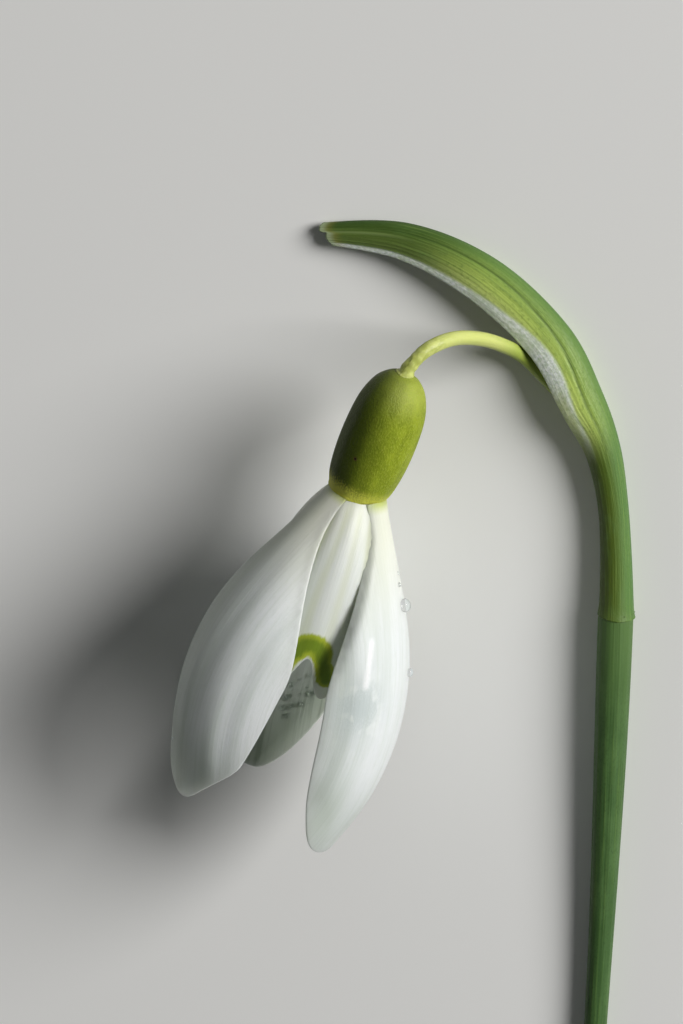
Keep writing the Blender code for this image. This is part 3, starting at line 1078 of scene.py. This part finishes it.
def inner_tepal_grids(azimuth, seed):
    even, across = blade_grid(INNER_ROWS, INNER_COLUMNS)
    along = even * (1 - cut_back(across) * even**3)
    profile = [INNER_ROOT, INNER_SHOULDER, INNER_BELLY, INNER_MOUTH]
    spread = blend(INNER_CLAW, INNER_HALF_WIDTH, smoothstep(even / INNER_WIDEST_AT))
    cup = blend(INNER_ROOT_CUP, INNER_CUP, smoothstep(even / INNER_CUPPED_AT))
    surface = tepal_surface(profile, cup, math.radians(azimuth), spread, along, across, 0.0)

    wave = np.cos(across * math.pi * INNER_RIBS + 0.35 * ripple(even * 4, across, seed))
    fade = smoothstep(even / 0.12) * smoothstep((1 - even) / 0.25)
    surface = surface + grid_normals(surface) * (INNER_RIB_HEIGHT * wave * fade)[..., None]

    edge = np.minimum((1 - np.abs(across)) * spread, (1 - even) * INNER_MOUTH[0])
    wall = INNER_WALL * blend(EDGE_SHARE, 1, smoothstep(edge / INNER_EDGE_WIDTH))
    fields = {
        "along": even,
        # painted shade in the rib valleys
        "crease": np.clip(-wave, 0, 1) * fade,
        # painted shade towards the margins
        "margin": rise(np.abs(across), 0.5, 0.3),
        "mark": green_mark(along, across, spread),
    }
    return sheet_grids(surface, wall, edge, RIM_WIDTH, fields)


def green_mark(along, across, spread):
    """A band that follows the notch at a little distance: 1 in its middle, 0 outside."""
    notch_from = 1 - INNER_NOTCH
    drop = (1 - cut_back(across) - along) * INNER_MOUTH[0]
    depth = np.clip((1 - along) / INNER_NOTCH, 1e-3, 1)
    side = (np.abs(across) - INNER_NOTCH_WIDTH * np.sqrt(-np.log(depth))) * spread
    below = np.hypot(across * spread, (notch_from - along) * INNER_MOUTH[0])
    distance = np.where(along > notch_from, np.minimum(drop, side), below)
    return bell(distance, MARK_DISTANCE, MARK_WIDTH) * (1 - rise(along, MARK_END, 0.06))


def add_tepals():
    outer = outer_tepal_material()
    for name, tepal in OUTER_TEPALS.items():
        add_piece(name + "_blade", name, outer, outer_tepal_grids(tepal), from_head)
    inner = inner_tepal_material()
    for seed, (name, azimuth) in enumerate(INNER_AZIMUTHS.items()):
        add_piece(name + "_blade", name, inner, inner_tepal_grids(azimuth, seed), from_head)


def ovary_axis(shares):
    """Places on the ovary's tilted axis, in the head's frame."""
    direction = np.array((math.sin(OVARY_TILT), 0, -math.cos(OVARY_TILT)))
    return shares[:, None] * OVARY_LENGTH * direction


def add_ovary():
    turns = full_turn(OVARY_SIDES)
    swell = 1 + 0.012 * np.cos(3 * turns + 0.6) + 0.006 * np.cos(11 * turns)
    outline = np.vstack([OVARY_FOOT, spline(OVARY_PROFILE, np.linspace(0, 1, OVARY_ROWS + 1))])
    slip = OVARY_SLIP * np.clip(1 - outline[:, 0], 0, 1) ** 2
    path = ovary_axis(outline[:, 0]) - slip[:, None] * (1.0, 0.0, 0.0)
    radii = (outline[:, 1] - slip)[:, None] * swell
    grid, grain = tube_grid(path, radii, turns, dome=0.1)
    fields = {
        "grain": grain,
        "along": grain[..., 2] / OVARY_LENGTH,
        # painted shade on one side of the ovary
        "painted_shade": smoothstep(0.6 - grid[..., 0] / 2.8),
    }
    add_piece("ovary_skin", "ovary", ovary_material(), [(grid, True, fields)], from_head)


def add_pedicel():
    far_end = from_head(ovary_axis(np.array([1.0 - OVERLAP / OVARY_LENGTH])))[0] - NODE_PLACE
    stations = [*PEDICEL_STATIONS, (*far_end, PEDICEL_END_RADIUS)]
    shares = np.linspace(0, 1, PEDICEL_ROWS + 1)
    curve = spline(stations, shares)
    turns = full_turn(PEDICEL_SIDES)
    late = rise(shares, WRINKLED_FROM, 0.12)[:, None]
    wrinkles = 0.06 * ripple(shares[:, None] * 88, turns, 1.0) * late
    ribs = 0.01 * np.cos(7 * turns) * (1 - late)
    collar = 0.12 * bell(shares[:, None], 0.985, 0.006)
    radii = curve[:, 3, None] * (1 + wrinkles + ribs + collar)
    grid, grain = tube_grid(curve[:, :3], radii, turns, dome=0.2)
    share = grain[..., 2] / grain[..., 2].max()
    fields = {
        "grain": grain,
        "early": 1 - rise(share, 0.62, 0.12),
        "late": rise(share, 0.84, 0.08),
    }
    add_piece("pedicel_stalk", "pedicel", pedicel_material(), [(grid, True, fields)], from_node)


def spathe_surface(share, turn):
    """The outer side of the sheath, and the angle from its keel, as in the part's design."""
    before, station, after = (spline(SPATHE_STATIONS, share + k * SPATHE_STEP) for k in (-1, 0, 1))
    ahead = unit((after - before)[..., :2])
    outward = np.stack([ahead[..., 1], -ahead[..., 0], 0 * share], -1)
    opening = SPATHE_OPEN_ANGLE * rise(share, SPATHE_TUBE_SHARE, SPATHE_PARTING_SHARE)
    width, height = station[..., 2], station[..., 3]
    reach = width / (1 + np.cos(opening))
    angle = (math.pi - opening) * turn
    offset = width / 2 - reach + reach * np.cos(angle)
    lift = height / 2 * (1 + np.sin(angle))
    place = np.stack([station[..., 0], station[..., 1], lift], -1)
    return place + outward * offset[..., None], angle


def spathe_cut(share, turn):
    """How far the ends are cut back: a slant at the base, and two lobes on each side of the tip."""
    side = np.abs(turn)
    slant = 0.011 * np.cos(math.pi * turn) * (1 - share) ** 8
    keel_lobe = 0.014 * ((side - 0.40) / 0.40) ** 2
    lip_lobe = 0.016 + 0.016 * ((side - 0.66) / 0.34) ** 2
    lobes = blend(keel_lobe, lip_lobe, rise(side, SPATHE_SEAM, 0.04))
    return slant + lobes * share**12


def spathe_membrane(share, half_turn):
    """1 on the papery margin, which is broadest in the middle of the sheath."""
    return smoothstep((half_turn - 0.57 + 0.14 * bell(share, 0.58, 0.13)) / 0.05)


def spathe_groove(share, half_turn):
    """1 in a lengthwise groove, which comes nearer the keel towards the tip."""
    place = 0.36 - 0.10 * rise(share, 0.45, 0.3)
    return bell(half_turn, place, 0.014) * rise(share, 0.3, 0.2)


def add_spathe():
    rows = np.linspace(0, 1, SPATHE_ROWS + 1)
    columns = np.sin(math.pi / 2 * np.linspace(-1, 1, SPATHE_COLUMNS + 1))
    share, turn = np.meshgrid(rows, columns, indexing="ij")
    side = np.abs(turn)
    surface, angle = spathe_surface(np.clip(share - spathe_cut(share, turn), 0, 1), turn)
    opened = rise(share, SPATHE_TUBE_SHARE, SPATHE_PARTING_SHARE)
    half_turn = np.abs(angle) / math.pi
    membrane = spathe_membrane(share, half_turn)
    groove = spathe_groove(share, half_turn)
    veins = 0.012 * np.cos(half_turn * 2 * math.pi * SPATHE_VEINS) * (1 - membrane)
    crinkle = 0.012 * ripple(share * 420, angle * 14, 0.7) * membrane * opened
    swell = 0.09 * bell(share, 0.0, 0.02)
    relief = veins + crinkle + swell - 0.06 * groove
    surface = surface + grid_normals(surface) * relief[..., None]

    width = spline(SPATHE_STATIONS, share)[..., 2]
    edge = np.minimum((1 - side) * width * 1.3, np.minimum(share, 1 - share) * SPATHE_LENGTH)
    wall = blend(MEMBRANE_WALL, SPATHE_WALL, 1 - membrane)
    rim = 0.04 + 0.08 * opened
    fields = {
        "along": share,
        "turn": half_turn,
        "membrane": membrane,
        "closed": 1 - opened,
        # painted shadow of the pedicel behind the membrane
        "stalk": 0.6 * rise(side, 0.72, 0.12) * smoothstep((0.56 - share) / 0.06),
        # painted shade in the groove
        "groove": 0.7 * groove,
        "base": 0.4 * bell(share, 0.0, 0.03),
        "seam": 0.5 * bell(side, SPATHE_SEAM + 0.01, 0.03) * rise(share, 0.84, 0.10),
        "tan": 0.3 * bell(share, 0.978, 0.008),
        "pale_tip": 0.8 * rise(share, 0.975, 0.015),
    }
    grids = []
    for grid, flipped, values in sheet_grids(surface, wall, edge, rim, fields):
        grids.append((grid, flipped, with_round_grain(values, angle, share)))
    add_piece("spathe_sheath", "spathe", spathe_material(), grids, from_node)


def with_round_grain(fields, angle, share):
    """Grain that closes on itself where the lips of the sheath meet."""
    x = np.cos(angle) * SPATHE_GRAIN_RADIUS + fields["grain"][..., 2]
    y = np.sin(angle) * SPATHE_GRAIN_RADIUS
    return {**fields, "grain": np.stack([x, y, share * SPATHE_LENGTH], -1)}


def add_scape():
    run = np.linspace(-SCAPE_INSIDE, SCAPE_LENGTH, SCAPE_ROWS + 1)
    reach = np.maximum(run, 0)
    radius = blend(SCAPE_NODE_RADIUS, SCAPE_RADIUS, smoothstep(reach / SCAPE_TAPER_LENGTH))
    x = -SCAPE_SLOPE * run - SCAPE_BEND * reach**2
    path = np.stack([x, -run, radius], -1)
    size = radius * (1 - 0.15 * smoothstep(-run / 0.5))
    turns = full_turn(SCAPE_SIDES)
    ribs = 1 + 0.012 * np.cos(SCAPE_RIBS * turns) + 0.005 * np.cos(23 * turns + 1.0)
    radii = size[:, None] * ribs
    grid, grain = tube_grid(path, radii, turns, dome=-0.12)
    along = grain[..., 2] / SCAPE_LENGTH
    cut = np.zeros_like(along)
    cut[-len(CAP_RINGS) :] = 1.0
    cut[-len(CAP_RINGS) - 1] = 0.3
    fields = {"grain": grain, "along": along, "cut": cut}
    add_piece("scape_stem", "scape", scape_material(), [(grid, True, fields)], from_node)


def thread_grid(stations, azimuth, shape, dome):
    """A closed tube along stations that lie towards an azimuth, and its grain."""
    curve = spline(stations, np.linspace(0, 1, STAMEN_ROWS + 1))
    x, y = curve[:, 0] * math.sin(azimuth), curve[:, 0] * math.cos(azimuth)
    path = np.stack([x, y, curve[:, 1]], -1)
    return tube_grid(path, curve[:, 2, None] * shape, full_turn(STAMEN_SIDES), dome)


def add_stamens():
    material = stamen_material()
    shares = np.linspace(0, 1, STAMEN_ROWS + 1)[:, None]
    anther = rise(shares, 0.3, 0.1) * smoothstep((1 - shares) / 0.1)
    creases = np.abs(np.sin(full_turn(STAMEN_SIDES) * 2 + math.pi / 4)) ** 6
    shape = 1 - anther * (0.20 * creases)
    for i in range(STAMEN_COUNT):
        azimuth = 2 * math.pi * (i + 0.5) / STAMEN_COUNT
        grid, grain = thread_grid(STAMEN_STATIONS, azimuth, shape, dome=0.6)
        fields = {"grain": grain + i, "along": grain[..., 2] / grain[..., 2].max()}
        name = f"stamen_{i + 1}"
        add_piece(name + "_anther", name, material, [(grid, True, fields)], from_head)


def add_style():
    shape = 1 + 0.04 * np.cos(3 * full_turn(STAMEN_SIDES))
    grid, grain = thread_grid(STYLE_STATIONS, 0.0, shape, dome=0.8)
    grids = [(grid, True, {"grain": grain})]
    add_piece("style_thread", "style", style_material(), grids, from_head)


def beads():
    """Fine drops inside the rear outer tepal, spread like seeds on a disc."""
    found = []
    for i in range(BEAD_COUNT):
        reach = math.sqrt((i + 0.5) / BEAD_COUNT)
        along = BEAD_ALONG + BEAD_SPREAD_ALONG * reach * math.cos(i * GOLDEN_ANGLE)
        across = BEAD_ACROSS + BEAD_SPREAD_ACROSS * reach * math.sin(i * GOLDEN_ANGLE)
        radius = BEAD_RADIUS + BEAD_VARIATION * math.sin(2.6 * i)
        found.append(Drop("outer_tepal_back", along, across, radius))
    return found


def add_drop(name, drop, side, material):
    """A drop on the outer side of its tepal, 0, or on the inner side, 1."""
    surface, flipped = outer_tepal_grids(OUTER_TEPALS[drop.tepal])[side][:2]
    row = round(math.asin(drop.along) / (math.pi / 2) * OUTER_ROWS)
    column = round((math.asin(drop.across) / (math.pi / 2) + 1) / 2 * OUTER_COLUMNS)
    normal = grid_normals(surface)[row, column] * (-1 if flipped else 1)
    turns = full_turn(DEW_SIDES)
    height = -np.cos(np.linspace(0, math.pi, DEW_ROWS + 1))[:, None]
    path = surface[row, column] + normal * (DROP_LIFT + DROP_HALF_HEIGHT * height) * drop.radius
    radii = np.sqrt(np.maximum(1 - height**2, 0)) * drop.radius * np.ones_like(turns)
    grid, grain = tube_grid(path, radii, turns)
    add_piece(name, None, material, [(grid, True, {"grain": grain})], from_head)


def add_dew():
    """Small drops that cling to the outer tepals."""
    material = dew_material()
    for number, drop in enumerate(DEW, start=1):
        add_drop(f"dew_{number}", drop, 0, material)
    for number, drop in enumerate(beads(), start=1):
        add_drop(f"bead_{number}", drop, 1, material)


# Scene


def add_camera():
    data = bpy.data.cameras.new("camera")
    data.sensor_width = SENSOR
    data.lens = SENSOR * CAMERA_DISTANCE / VIEW_HEIGHT
    data.clip_start = 0.01
    data.clip_end = 10.0
    axes = Matrix.Rotation(CAMERA_TILT, 3, "X") @ Matrix.Rotation(CAMERA_ROLL, 3, "Y")
    offset = axes @ Vector((CAMERA_RIGHT, CAMERA_UP, CAMERA_DISTANCE))
    camera = add_object("camera", data)
    camera.matrix_world = Matrix.Translation((Vector(HEAD_PLACE) + offset) * MM) @ axes.to_4x4()
    bpy.context.scene.camera = camera


def add_light(name, place, size, power, colour):
    data = bpy.data.lights.new(name, "AREA")
    data.shape = "DISK"
    data.size = size
    data.energy = power
    data.color = colour
    light = add_object(name, data)
    light.location = place
    light.rotation_euler = (-Vector(place)).to_track_quat("-Z", "Y").to_euler()


def add_floor():
    bm = bmesh.new()
    bmesh.ops.create_grid(bm, x_segments=8, y_segments=8, size=FLOOR_SIZE / 2)
    mesh = bpy.data.meshes.new("floor")
    bm.to_mesh(mesh)
    bm.free()
    mesh.materials.append(floor_material())
    floor = add_object("floor", mesh)
    floor.location.z = FLOOR_Z


def add_studio():
    add_floor()
    for light in LIGHTS:
        add_light(*light)
    world = bpy.data.worlds.new("studio")
    world.use_nodes = True
    nodes, links = world.node_tree.nodes, world.node_tree.links
    background = nodes["Background"]
    background.inputs["Color"].default_value = (*WORLD_COLOUR, 1.0)
    strength = nodes.new("ShaderNodeMapRange")
    strength.inputs["To Min"].default_value = WORLD_LIGHT
    strength.inputs["To Max"].default_value = BACKDROP_LIGHT
    links.new(nodes.new("ShaderNodeLightPath").outputs["Is Camera Ray"], strength.inputs["Value"])
    links.new(strength.outputs["Result"], background.inputs["Strength"])
    bpy.context.scene.world = world
    bpy.context.scene.view_settings.view_transform = "Standard"


add_scape()
add_spathe()
add_pedicel()
add_ovary()
add_tepals()
add_stamens()
add_style()
add_dew()
add_camera()
add_studio()
